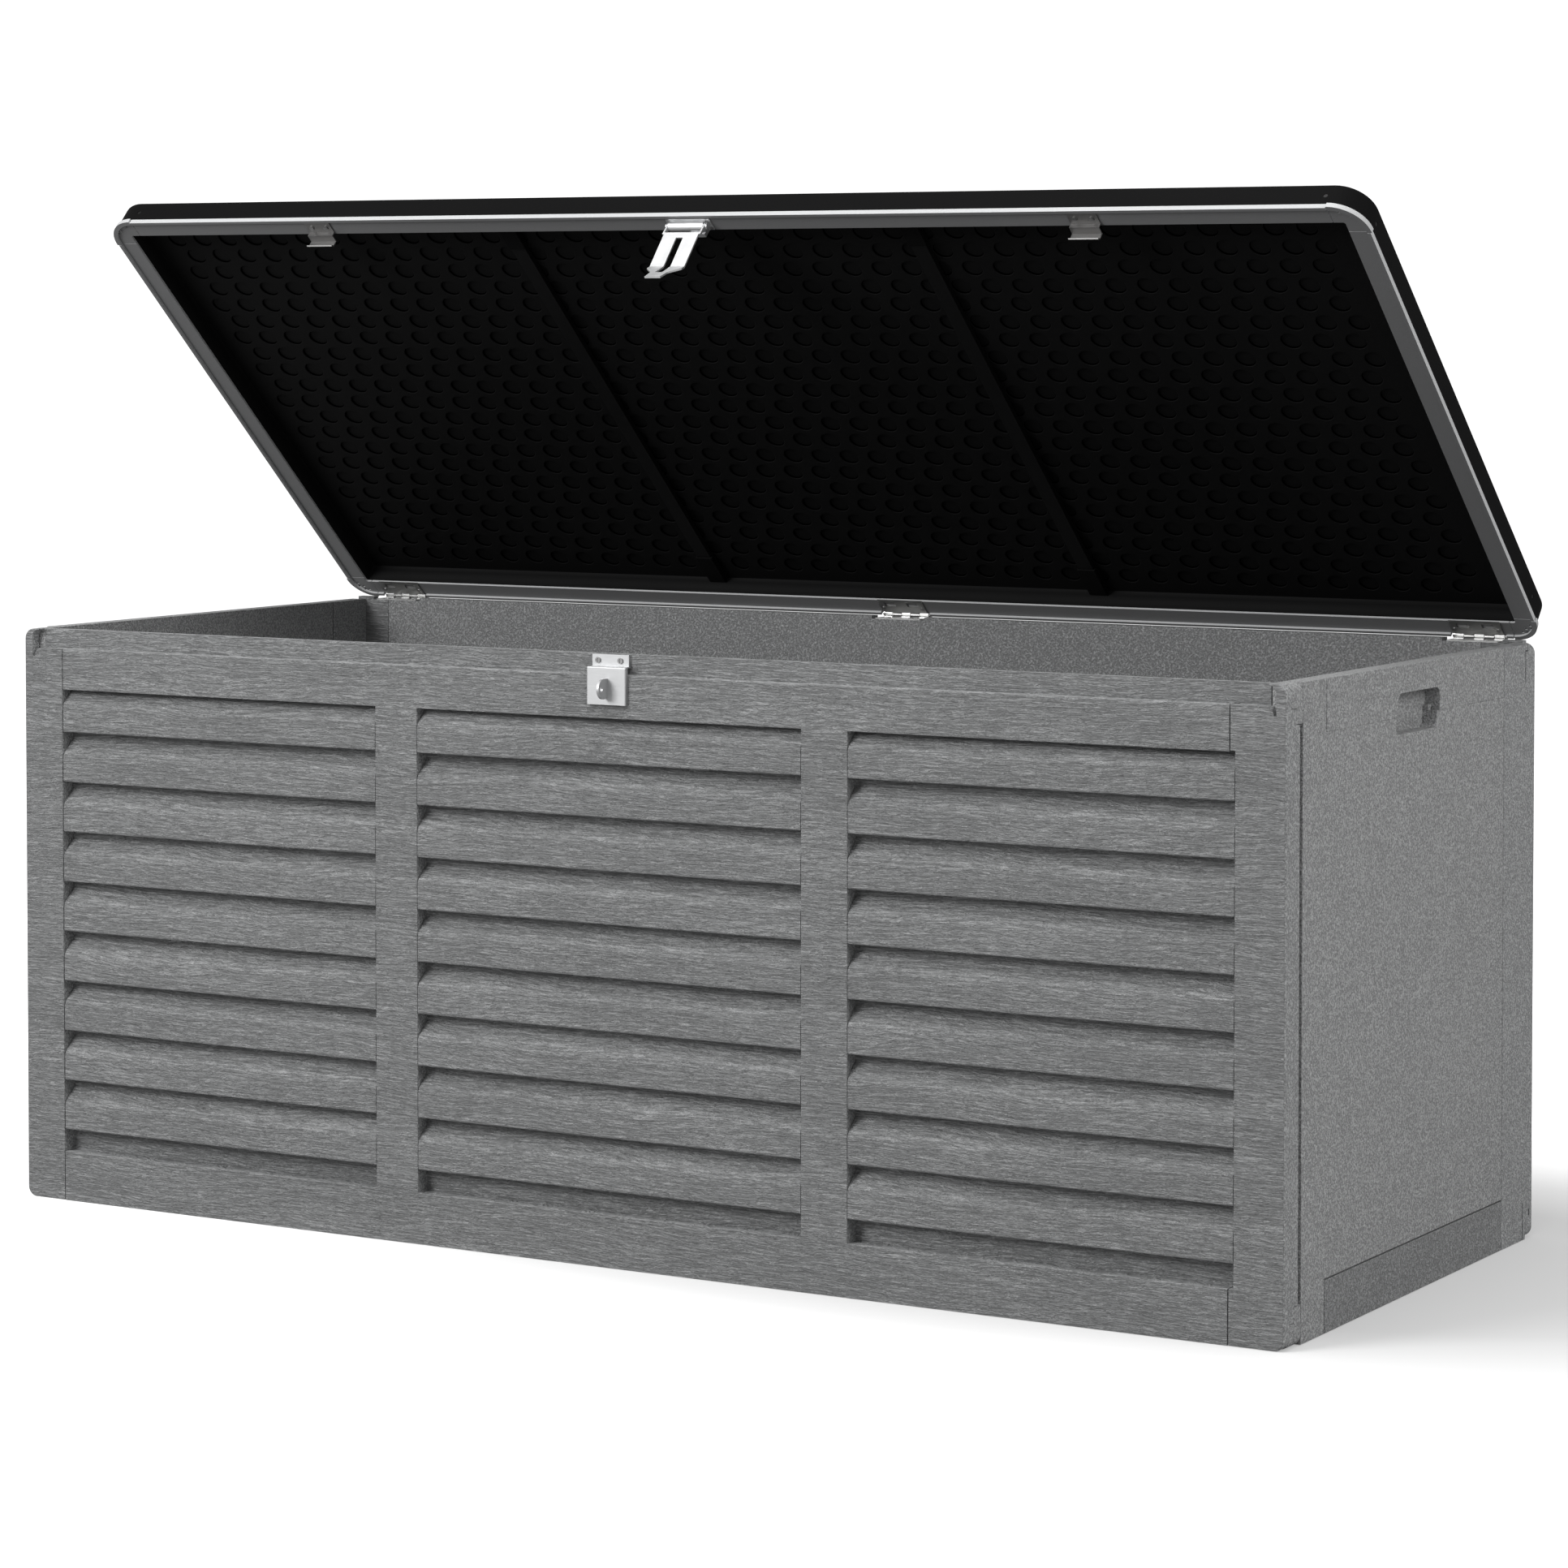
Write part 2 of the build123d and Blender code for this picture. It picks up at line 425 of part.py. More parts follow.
with BuildPart() as staple_loop:
    with BuildSketch(Plane.YZ.offset(LOOP_X - LOOP_T / 2)) as loop:
        y0, z0 = PLATE_Y, LOOP_Z
        with BuildLine():
            Polyline((y0, z0 + LOOP_H / 2), (y0 - 5, z0 + LOOP_H / 2))
            ThreePointArc((y0 - 5, z0 + LOOP_H / 2), (y0 - LOOP_OUT, z0), (y0 - 5, z0 - LOOP_H / 2))
            Polyline((y0 - 5, z0 - LOOP_H / 2), (y0, z0 - LOOP_H / 2), (y0, z0 + LOOP_H / 2))
        make_face()
        with Locations((y0 - 12.0, z0)):
            Circle(EYE_R, mode=Mode.SUBTRACT)
    extrude(amount=LOOP_T)
save(staple_loop, "staple_loop")

with BuildPart() as staple_screws:
    for x, z in STAPLE_SCREWS:
        rod(x, TAB_Y - 0.8, z, 3.4, 1.6, "Y")
        rod(x, TAB_Y + 6.0, z, 1.5, 12.0, "Y")
        slab(x - 2.2, x + 2.2, TAB_Y - 1.7, TAB_Y - 0.9, z - 0.4, z + 0.4, Mode.SUBTRACT)
        slab(x - 0.4, x + 0.4, TAB_Y - 1.7, TAB_Y - 0.9, z - 2.2, z + 2.2, Mode.SUBTRACT)
save(staple_screws, "staple_screws")

# ------------------------------------------------------------------ hinges
KW = HINGE_W / KNUCKLES
SIDES = ("left", "centre", "right")


def knuckle_spans(centre, first):
    spans = []
    for k in range(first, KNUCKLES, 2):
        a = centre - HINGE_W / 2 + k * KW + (0.3 if k else 0)
        b = centre - HINGE_W / 2 + (k + 1) * KW - (0.3 if k < KNUCKLES - 1 else 0)
        spans.append((a, b))
    return spans


def box_leaf(c):
    """Leaf screwed to the top edge of the wall, with the outer and middle knuckles."""
    with BuildPart() as leaf:
        slab(c - HINGE_W / 2, c + HINGE_W / 2, 332.0, 352.5, BOX_H, BOX_H + LEAF_T)
        for a, b in knuckle_spans(c, 0):
            slab(a, b, 352.0, HINGE_Y, BOX_H, BOX_H + LEAF_T)
            slab(a, b, 353.2, HINGE_Y, BOX_H, BOX_H + 2.6)
            rod((a + b) / 2, HINGE_Y, HINGE_Z, KNUCKLE_R, b - a, "X")
        rod(c, HINGE_Y, HINGE_Z, PIN_R, HINGE_W + 10, "X", Mode.SUBTRACT)
        for dx in BODY_SCREW_DX:
            rod(c + dx, BODY_SCREW_Y, BOX_H + 0.7, 1.5, 4, "Z", Mode.SUBTRACT)
    return leaf


def lid_leaf(c):
    """Leaf screwed under the lid's rear rail, with two windows and two knuckles."""
    with BuildPart(LID) as leaf:
        lid_slab(c - HINGE_W / 2, c + HINGE_W / 2, 330.0, 352.5, LEDGE_Z - LEAF_T, LEDGE_Z)
        for a, b in knuckle_spans(c, 1):
            lid_slab(a, b, 352.0, HINGE_Y, LEDGE_Z - LEAF_T, LEDGE_Z)
            rod((a + b) / 2, 0, 0, KNUCKLE_R, b - a, "X")
        rod(c, 0, 0, PIN_R + PIN_CLEAR, HINGE_W + 10, "X", Mode.SUBTRACT)
        for dx in BODY_SCREW_DX:
            lid_slab(c + dx - 7.5, c + dx + 7.5, BODY_SCREW_Y - 3.6, BODY_SCREW_Y + 3.6, LEDGE_Z - 3, LEDGE_Z + 1, Mode.SUBTRACT)
        for dx in LID_SCREW_DX:
            rod(c + dx, LID_SCREW_Y - HINGE_Y, LEDGE_Z - HINGE_Z, 1.5, 5, "Z", Mode.SUBTRACT)
    return leaf


hinge_box_leaf_left = box_leaf(HINGES[0])
save(hinge_box_leaf_left, "hinge_box_leaf_left")
hinge_box_leaf_centre = box_leaf(HINGES[1])
save(hinge_box_leaf_centre, "hinge_box_leaf_centre")
hinge_box_leaf_right = box_leaf(HINGES[2])
save(hinge_box_leaf_right, "hinge_box_leaf_right")
hinge_lid_leaf_left = lid_leaf(HINGES[0])
save(hinge_lid_leaf_left, "hinge_lid_leaf_left")
hinge_lid_leaf_centre = lid_leaf(HINGES[1])
save(hinge_lid_leaf_centre, "hinge_lid_leaf_centre")
hinge_lid_leaf_right = lid_leaf(HINGES[2])
save(hinge_lid_leaf_right, "hinge_lid_leaf_right")

with BuildPart() as hinge_pins:
    for c in HINGES:
        rod(c, HINGE_Y, HINGE_Z, PIN_R, HINGE_W, "X")
        for e in (-1, 1):
            rod(c + e * (HINGE_W / 2 + 0.9), HINGE_Y, HINGE_Z, 3.6, 1.8, "X")
save(hinge_pins, "hinge_pins")

with BuildPart() as hinge_box_screws:
    for c in HINGES:
        for dx in BODY_SCREW_DX:
            rod(c + dx, BODY_SCREW_Y, BOX_H + LEAF_T + 0.4, 3.0, 0.8, "Z")
            rod(c + dx, BODY_SCREW_Y, BOX_H + LEAF_T - 5.0, 1.5, 10.0, "Z")
save(hinge_box_screws, "hinge_box_screws")

with BuildPart(LID) as hinge_lid_screws:
    for c in HINGES:
        for dx in LID_SCREW_DX:
            rod(c + dx, LID_SCREW_Y - HINGE_Y, LEDGE_Z - LEAF_T - 0.35 - HINGE_Z, 2.6, 0.7, "Z")
            rod(c + dx, LID_SCREW_Y - HINGE_Y, LEDGE_Z - LEAF_T + 2.5 - HINGE_Z, 1.5, 5.0, "Z")
save(hinge_lid_screws, "hinge_lid_screws")


# --------------------------------------------------------------------- lid
def lid_layer(inset, z0, z1, mode=Mode.ADD, taper=0, sharp=False):
    """A slice of the lid's rounded plan, drawn in by inset, between two heights of the closed lid."""
    w, d = 2 * (LID_X - inset), LID_YR - LID_YF - 2 * inset
    cy = (LID_YF + LID_YR) / 2 - HINGE_Y
    with BuildSketch(LID.offset(z0 - HINGE_Z), mode=Mode.PRIVATE) as plan:
        with Locations((0, cy)):
            Rectangle(w, d)
        fillet(plan.vertices().filter_by(lambda v: v.Y < cy), 3.0 if sharp else max(RIM_RF - inset, 3.0))
        fillet(plan.vertices().filter_by(lambda v: v.Y > cy and abs(v.X) > w / 2 - 0.01), 3.0 if sharp else max(RIM_RR - inset, 3.0))
    extrude(plan.sketch, amount=z1 - z0, taper=taper, mode=mode)


SHELL_SCREWS = [(-806, "F"), (806, "F"), (-806, "R"), (806, "R"), (-330, "W"), (300, "W"), (-330, "E"), (300, "E")]
with BuildPart(LID) as lid_shell:
    lid_layer(0.5, LIP_Z1, SHELL_TOP)
    top = lid_shell.faces().sort_by(Axis(LID.origin, LID.z_dir))[-1]
    fillet(top.edges(), 5.0)
    lid_layer(26.0, SHELL_TOP, SHELL_TOP + CROWN, taper=60)
    lid_layer(0.5 + SHELL_T, LIP_Z1 - 1, SHELL_TOP - 3.0, Mode.SUBTRACT)
    lid_layer(34.0, SHELL_TOP - 3.5, SHELL_TOP + 0.6, Mode.SUBTRACT)
    for x in HINGES:
        rod(x, 0, 0, KNUCKLE_R + 0.7, HINGE_W + 6, "X", Mode.SUBTRACT)
    sz = 720.0 - HINGE_Z
    for p, side in SHELL_SCREWS:
        if side in "FR":
            y = LID_YF + 2 if side == "F" else LID_YR - 2
            rod(p, y - HINGE_Y, sz, 2.6, 6, "Y", Mode.SUBTRACT)
        else:
            x = -LID_X + 2 if side == "W" else LID_X - 2
            rod(x, p - HINGE_Y, sz, 2.6, 6, "X", Mode.SUBTRACT)
save(lid_shell, "lid_shell")

with BuildPart(LID) as lid_shell_screws:
    for p, side in SHELL_SCREWS:
        if side in "FR":
            y = LID_YF + 2.1 if side == "F" else LID_YR - 2.1
            rod(p, y - HINGE_Y, sz, 2.5, 2.4, "Y")
        else:
            x = -LID_X + 2.1 if side == "W" else LID_X - 2.1
            rod(x, p - HINGE_Y, sz, 2.5, 2.4, "X")
save(lid_shell_screws, "lid_shell_screws")

# Inner skin: a tray pressed up inside the shell, standing on the rim
with BuildPart(LID) as lid_inner_skin:
    lid_layer(RIM_W, LEDGE_Z + 2.5, SKIN_Z + SKIN_T, sharp=True)
    lid_layer(RIM_W + SKIN_T, LEDGE_Z, SKIN_Z, Mode.SUBTRACT, sharp=True)
save(lid_inner_skin, "lid_inner_skin")

BAR_W, BAR_H = 20.0, 6.5
bar_z0 = SKIN_Z - BAR_H
SOCKET_L = 48.0
bar_y0, bar_y1 = LID_YF + RIM_W + SKIN_T, LID_YR - RIM_W - SKIN_T


def lid_bar(x):
    """Square tube across the lid, its ends in the sockets."""
    with BuildPart(LID) as bar:
        lid_slab(x - BAR_W / 2, x + BAR_W / 2, bar_y0 + SOCKET_L, bar_y1 - SOCKET_L, bar_z0, SKIN_Z)
        lid_slab(x - BAR_W / 2 + 1.5, x + BAR_W / 2 - 1.5, bar_y0, bar_y1, bar_z0 + 1.5, SKIN_Z - 1.5, Mode.SUBTRACT)
    return bar


lid_bar_left = lid_bar(BARS[0])
save(lid_bar_left, "lid_bar_left")
lid_bar_right = lid_bar(BARS[1])
save(lid_bar_right, "lid_bar_right")

with BuildPart(LID) as lid_bar_sockets:
    for x in BARS:
        for y0, y1 in ((bar_y0, bar_y0 + SOCKET_L), (bar_y1 - SOCKET_L, bar_y1)):
            lid_slab(x - 12, x + 12, y0, y1, bar_z0 - 1.5, SKIN_Z)
            lid_slab(x - 9.5, x + 9.5, y0 + 3, y1 - 3, bar_z0, SKIN_Z - 1.5, Mode.SUBTRACT)
    low = bar_z0 - 1.5 - HINGE_Z
    foot = lid_bar_sockets.edges().filter_by(lambda q: abs((q.center() - LID.origin).dot(LID.z_dir) - low) < 0.01)
    fillet(foot, 0.8)
save(lid_bar_sockets, "lid_bar_sockets")


def rim_ring(proud):
    """The grey rim all round: lip, ledge and two upstands."""
    lid_layer(-proud, LIP_Z0, LIP_Z1)
    lid_layer(4.0, LIP_Z0 - 1, LEDGE_Z, Mode.SUBTRACT)
    lid_layer(4.0, LEDGE_Z + 2.5, LIP_Z1 + 1, Mode.SUBTRACT)
    lid_layer(4.0, LEDGE_Z + 2, LIP_Z1 + 7.0)
    lid_layer(6.4, LEDGE_Z + 2.5, LIP_Z1 + 8.0, Mode.SUBTRACT)
    lid_layer(RIM_W - 2.5, LEDGE_Z + 2, 712.0, sharp=True)
    lid_layer(RIM_W, LEDGE_Z - 1, 713.0, Mode.SUBTRACT, sharp=True)


CORNER_F, CORNER_RR = 40.0, 34.0    # how far the corner pieces reach
gapc = 0.5
xc = LID_X - CORNER_F
yf, yr = LID_YF + CORNER_F, LID_YR - CORNER_RR
xr = LID_X - CORNER_RR


def rim_piece(x0, x1, y0, y1, holes=(), notches=()):
    """One straight rail of the rim, drilled from below and notched for the hinges."""
    with BuildPart(LID) as piece:
        rim_ring(0.0)
        lid_slab(x0, x1, y0, y1, LIP_Z0 - 5, 730.0, Mode.INTERSECT)
        for x, y in holes:
            rod(x, y - HINGE_Y, LEDGE_Z + 1 - HINGE_Z, 1.5, 5.2, "Z", Mode.SUBTRACT)
        for x in notches:
            lid_slab(x - HINGE_W / 2 - 3, x + HINGE_W / 2 + 3, 340, 360, LIP_Z0 - 1, LEDGE_Z, Mode.SUBTRACT)
            rod(x, 0, 0, KNUCKLE_R + 0.7, HINGE_W + 6, "X", Mode.SUBTRACT)
    return piece


front_holes = [(c + dx, CATCH_SCREW_Y) for c in CATCHES for dx in CATCH_SCREW_DX]
front_holes += [(HASP_X + dx, HASP_SCREW_Y) for dx in HASP_SCREW_DX]
rear_holes = [(c + dx, LID_SCREW_Y) for c in HINGES for dx in LID_SCREW_DX]
rim_rail_front = rim_piece(-xc + gapc, xc - gapc, LID_YF - 5, LID_YF + RIM_W + 3, front_holes)
save(rim_rail_front, "rim_rail_front")
rim_rail_rear = rim_piece(-xr + gapc, xr - gapc, LID_YR - RIM_W - 3, LID_YR + 5, rear_holes, HINGES)
save(rim_rail_rear, "rim_rail_rear")
rim_rail_left = rim_piece(-LID_X - 5, -LID_X + RIM_W + 3, yf + gapc, yr - gapc)
save(rim_rail_left, "rim_rail_left")
rim_rail_right = rim_piece(LID_X - RIM_W - 3, LID_X + 5, yf + gapc, yr - gapc)
save(rim_rail_right, "rim_rail_right")


def rim_corner(sx, rear):
    if rear:
        x0, x1, y0, y1 = xr + gapc, LID_X + 5, yr + gapc, LID_YR + 5
    else:
        x0, x1, y0, y1 = xc + gapc, LID_X + 5, LID_YF - 5, yf - gapc
    if sx < 0:
        x0, x1 = -x1, -x0
    with BuildPart(LID) as piece:
        rim_ring(1.8)
        lid_slab(x0, x1, y0, y1, LIP_Z0 - 5, 730.0, Mode.INTERSECT)
        # little square cells under the corner
        ye = LID_YR if rear else LID_YF
        sy = -1 if rear else 1
        for dx, dy in ((16.0, 9.5), (22.0, 9.5), (9.5, 16.0), (9.5, 22.0), (16.0, 16.0), (28.0, 9.5)):
            cx, cy = sx * (LID_X - dx), ye + sy * dy
            if rear and dx > 25:
                continue
            lid_slab(cx - 1.7, cx + 1.7, cy - 1.7, cy + 1.7, LEDGE_Z - 1, LEDGE_Z + 1.8, Mode.SUBTRACT)
    return piece


rim_corner_front_left = rim_corner(-1, False)
save(rim_corner_front_left, "rim_corner_front_left")
rim_corner_front_right = rim_corner(1, False)
save(rim_corner_front_right, "rim_corner_front_right")
rim_corner_rear_left = rim_corner(-1, True)
save(rim_corner_rear_left, "rim_corner_rear_left")
rim_corner_rear_right = rim_corner(1, True)
save(rim_corner_rear_right, "rim_corner_rear_right")


# ----------------------------------------------------- catches on the front rim
def lid_catch(x):
    """Cranked steel catch: fixing plate, step, shelf and a turned-out lip."""
    with BuildPart(LID) as catch:
        with BuildSketch(Plane(LID.origin + LID.x_dir * (x - 18.5), x_dir=LID.y_dir, z_dir=LID.x_dir)):
            with BuildLine():
                pts = [(-370.5, 704), (-352.2, 704), (-352.2, 698.5), (-342, 698.5), (-342, 689.6), (-346, 686.2),
                       (-347, 687.3), (-343.5, 690.2), (-343.5, 697), (-353.7, 697), (-353.7, 702.5), (-370.5, 702.5)]
                Polyline(*[(y - HINGE_Y, z - HINGE_Z) for y, z in pts], close=True)
            make_face()
        extrude(amount=37.0)
        for dx in CATCH_SCREW_DX:
            rod(x + dx, CATCH_SCREW_Y - HINGE_Y, 703.25 - HINGE_Z, 1.5, 4, "Z", Mode.SUBTRACT)
    return catch


lid_catch_left = lid_catch(CATCHES[0])
save(lid_catch_left, "lid_catch_left")
lid_catch_right = lid_catch(CATCHES[1])
save(lid_catch_right, "lid_catch_right")

with BuildPart(LID) as lid_catch_screws:
    for c in CATCHES:
        for dx in CATCH_SCREW_DX:
            rod(c + dx, CATCH_SCREW_Y - HINGE_Y, 702.5 - 0.7 - HINGE_Z, 3.2, 1.4, "Z")
            rod(c + dx, CATCH_SCREW_Y - HINGE_Y, 702.5 + 1.4 - HINGE_Z, 1.5, 5.0, "Z")
save(lid_catch_screws, "lid_catch_screws")

# ------------------------------------------------------------------- hasp
with BuildPart(LID) as hasp_bracket:
    hy, hz = HASP_Y - HINGE_Y, HASP_Z - HINGE_Z
    lid_slab(HASP_X - 30, HASP_X + 30, -369.0, -351.0, LEDGE_Z - PLATE_T, LEDGE_Z)
    rod(HASP_X, hy, hz, BARREL_R, BARREL_L, "X")
    # neck between the barrel and the plate
    lid_slab(HASP_X - BARREL_L / 2, HASP_X + BARREL_L / 2, -365.0, -359.0, HASP_Z, LEDGE_Z - 1)
    rod(HASP_X, hy, hz, HASP_PIN_R, BARREL_L + 20, "X", Mode.SUBTRACT)
    # stop block behind the barrel
    lid_slab(HASP_X + 3.5, HASP_X + BARREL_L / 2, -356.5, -351.0, 690.5, LEDGE_Z - 1)
    lid_slab(HASP_X + 3.5, HASP_X + BARREL_L / 2, -360.0, -354.0, 700.0, LEDGE_Z - 1)
    for dx in HASP_SCREW_DX:
        rod(HASP_X + dx, HASP_SCREW_Y - HINGE_Y, LEDGE_Z - HINGE_Z, 1.5, 5, "Z", Mode.SUBTRACT)
save(hasp_bracket, "hasp_bracket")

with BuildPart(LID) as hasp_bracket_screws:
    for dx in HASP_SCREW_DX:
        rod(HASP_X + dx, HASP_SCREW_Y - HINGE_Y, LEDGE_Z - PLATE_T - 0.6 - HINGE_Z, 2.2, 1.2, "Z")
        rod(HASP_X + dx, HASP_SCREW_Y - HINGE_Y, LEDGE_Z + 0.4 - HINGE_Z, 1.5, 5.0, "Z")
save(hasp_bracket_screws, "hasp_bracket_screws")

ARM_T = 2.0
with BuildPart(LID) as hasp_pin:
    rod(HASP_X, hy, hz, HASP_PIN_R, BARREL_L + 2 * (ARM_T + 0.6) + 1.0, "X")
    for e in (-1, 1):
        rod(HASP_X + e * (BARREL_L / 2 + ARM_T + 0.6 + 1.1), hy, hz, 4.2, 1.2, "X")
save(hasp_pin, "hasp_pin")

with BuildPart(HASP) as hasp_strap:
    # arms round the pin, one at each end of the barrel
    for e in (-1, 1):
        xm = e * (BARREL_L / 2 + 0.3 + ARM_T / 2)
        rod(xm, 0, 0, 4.6, ARM_T, "X")
        with BuildSketch(Plane(HASP.origin + HASP.x_dir * (xm - ARM_T / 2), x_dir=HASP.y_dir, z_dir=HASP.x_dir)):
            with BuildLine():
                Polyline((3.6, -1), (-3.8, 2.0), (-STRAP_OFF - 1, -STRAP_TOP), (-STRAP_OFF + 1, -STRAP_TOP - 2.0), (1.0, -5.0), close=True)
            make_face()
        extrude(amount=ARM_T)
        rod(xm, 0, 0, HASP_PIN_R + PIN_CLEAR, ARM_T + 2, "X", Mode.SUBTRACT)
    y0, y1 = -STRAP_OFF - STRAP_T / 2, -STRAP_OFF + STRAP_T / 2
    slab(-BARREL_L / 2 - 0.3 - ARM_T, BARREL_L / 2 + 0.3 + ARM_T, y0, y1, -STRAP_TOP - 2.6, -STRAP_TOP)
    # straight part and turned-out tip, as one folded strip
    with BuildSketch(Plane(HASP.origin + HASP.y_dir * (y1), x_dir=HASP.x_dir, z_dir=-HASP.y_dir)) as main:
        with BuildLine():
            w = STRAP_W / 2
            Polyline((-w, -STRAP_TOP - 2), (w, -STRAP_TOP - 2), (w, -STRAP_BEND - 0.2), (-w, -STRAP_BEND - 0.2), close=True)
        make_face()
        with Locations((0, -(SLOT_TOP + STRAP_BEND + 1) / 2)):
            Rectangle(SLOT_W, STRAP_BEND + 1 - SLOT_TOP, mode=Mode.SUBTRACT)
    extrude(amount=STRAP_T)
    tb = math.radians(TIP_BEND)
    down = -HASP.z_dir * math.cos(tb) - HASP.y_dir * math.sin(tb)
    out = -HASP.y_dir * math.cos(tb) + HASP.z_dir * math.sin(tb)
    start = HASP.origin + HASP.y_dir * y1 - HASP.z_dir * STRAP_BEND
    with BuildSketch(Plane(start, x_dir=HASP.x_dir, z_dir=out)) as tip:
        with BuildLine():
            # local y is opposite to down
            p = [(-w, 0.3), (w, 0.3), (w, -7), (w - 12, -19), (w - 13, -STRAP_TIP), (-w + 13, -STRAP_TIP), (-w + 12, -19), (-w, -7)]
            Polyline(*p, close=True)
        make_face()
        corners = [v for v in tip.vertices()]
        with Locations((0, -SLOT_TIP / 2 + 1)):
            Rectangle(SLOT_W, SLOT_TIP + 2, mode=Mode.SUBTRACT)
    extrude(amount=STRAP_T)
save(hasp_strap, "hasp_strap")

print("hasp axis at", [round(c, 3) for c in HASP_AT])
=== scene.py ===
import json
import math

import bmesh
import bpy
from mathutils import Matrix, Vector


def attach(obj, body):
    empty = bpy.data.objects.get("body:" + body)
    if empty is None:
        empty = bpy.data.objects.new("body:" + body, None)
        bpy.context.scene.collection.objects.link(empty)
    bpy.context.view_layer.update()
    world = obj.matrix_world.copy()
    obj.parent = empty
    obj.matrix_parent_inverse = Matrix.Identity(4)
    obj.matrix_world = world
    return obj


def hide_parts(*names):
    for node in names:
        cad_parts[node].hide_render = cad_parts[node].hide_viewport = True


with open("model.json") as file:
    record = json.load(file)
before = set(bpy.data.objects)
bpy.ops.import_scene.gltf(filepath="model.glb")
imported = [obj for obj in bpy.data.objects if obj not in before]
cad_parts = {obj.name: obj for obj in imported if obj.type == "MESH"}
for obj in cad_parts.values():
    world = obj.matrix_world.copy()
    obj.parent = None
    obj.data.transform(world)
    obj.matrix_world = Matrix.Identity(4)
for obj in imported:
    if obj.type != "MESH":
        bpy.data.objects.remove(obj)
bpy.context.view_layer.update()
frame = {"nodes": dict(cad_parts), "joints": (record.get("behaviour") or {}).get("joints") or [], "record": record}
nodes = frame["nodes"]
record = frame["record"]

# ---------------------------------------------------------------- lid frame
hinge = next(j for j in frame["joints"] if j["name"] == "lid_hinge")
HINGE = Vector(hinge["pos_m"])
OPEN = math.radians(-hinge["range_deg"][0])
LID_Y = Vector((0, math.cos(OPEN), -math.sin(OPEN)))
LID_Z = Vector((0, math.sin(OPEN), math.cos(OPEN)))


def lid_point(x, y, z):
    """A point given in the closed lid's coordinates (mm), in the open rest pose (m)."""
    return Vector((x / 1000, 0, 0)) + HINGE * 1.0 - Vector((HINGE.x, 0, 0)) + LID_Y * (y / 1000 - HINGE.y) + LID_Z * (z / 1000 - HINGE.z)


# ---------------------------------------------------------------- materials
class Shader:
    """A small helper that builds one node tree."""

    def __init__(self, name):
        self.m = bpy.data.materials.new(name)
        self.m.use_nodes = True
        self.t = self.m.node_tree
        self.b = self.t.nodes["Principled BSDF"]
        self.co = self.t.nodes.new("ShaderNodeTexCoord")

    def new(self, kind, **attrs):
        n = self.t.nodes.new(kind)
        for k, v in attrs.items():
            setattr(n, k, v)
        return n

    def link(self, a, b):
        self.t.links.new(a, b)

    def mapping(self, scale, source=None, offset=(0, 0, 0)):
        n = self.new("ShaderNodeMapping")
        n.inputs["Scale"].default_value = scale
        n.inputs["Location"].default_value = offset
        self.link(source or self.co.outputs["Object"], n.inputs["Vector"])
        return n.outputs["Vector"]

    def noise(self, vector, scale=1.0, detail=3.0, rough=0.5, distort=0.0):
        n = self.new("ShaderNodeTexNoise")
        n.inputs["Scale"].default_value = scale
        n.inputs["Detail"].default_value = detail
        n.inputs["Roughness"].default_value = rough
        n.inputs["Distortion"].default_value = distort
        self.link(vector, n.inputs["Vector"])
        return n.outputs["Fac"]

    def math(self, op, a, b=None, clamp=False):
        n = self.new("ShaderNodeMath", operation=op, use_clamp=clamp)
        for i, v in enumerate((a, b)):
            if v is None:
                continue
            if isinstance(v, (int, float)):
                n.inputs[i].default_value = v
            else:
                self.link(v, n.inputs[i])
        return n.outputs[0]

    def ramp(self, fac, stops):
        n = self.new("ShaderNodeValToRGB")
        el = n.color_ramp.elements
        while len(el) < len(stops):
            el.new(0.5)
        for e, (p, c) in zip(el, stops):
            e.position = p
            e.color = (c[0], c[1], c[2], 1) if isinstance(c, tuple) else (c, c, c, 1)
        self.link(fac, n.inputs["Fac"])
        return n.outputs["Color"]

    def mix(self, fac, a, b):
        n = self.new("ShaderNodeMix", data_type="RGBA")
        if isinstance(fac, (int, float)):
            n.inputs["Factor"].default_value = fac
        else:
            self.link(fac, n.inputs["Factor"])
        for key, v in (("A", a), ("B", b)):
            sock = [s for s in n.inputs if s.name == key and s.type == "RGBA"][0]
            if isinstance(v, tuple):
                sock.default_value = (*v, 1)
            else:
                self.link(v, sock)
        return [s for s in n.outputs if s.type == "RGBA"][0]

    def bump(self, height, strength, distance, normal=None):
        n = self.new("ShaderNodeBump")
        n.inputs["Strength"].default_value = strength
        n.inputs["Distance"].default_value = distance
        self.link(height, n.inputs["Height"])
        if normal is not None:
            self.link(normal, n.inputs["Normal"])
        return n.outputs["Normal"]

    def done(self, color=None, rough=None, normal=None, **fixed):
        if color is not None:
            if isinstance(color, tuple):
                self.b.inputs["Base Color"].default_value = (*color, 1)
            else:
                self.link(color, self.b.inputs["Base Color"])
        if rough is not None:
            if isinstance(rough, (int, float)):
                self.b.inputs["Roughness"].default_value = rough
            else:
                self.link(rough, self.b.inputs["Roughness"])
        if normal is not None:
            self.link(normal, self.b.inputs["Normal"])
        for k, v in fixed.items():
            self.b.inputs[k.replace("_", " ")].default_value = v
        return self.m


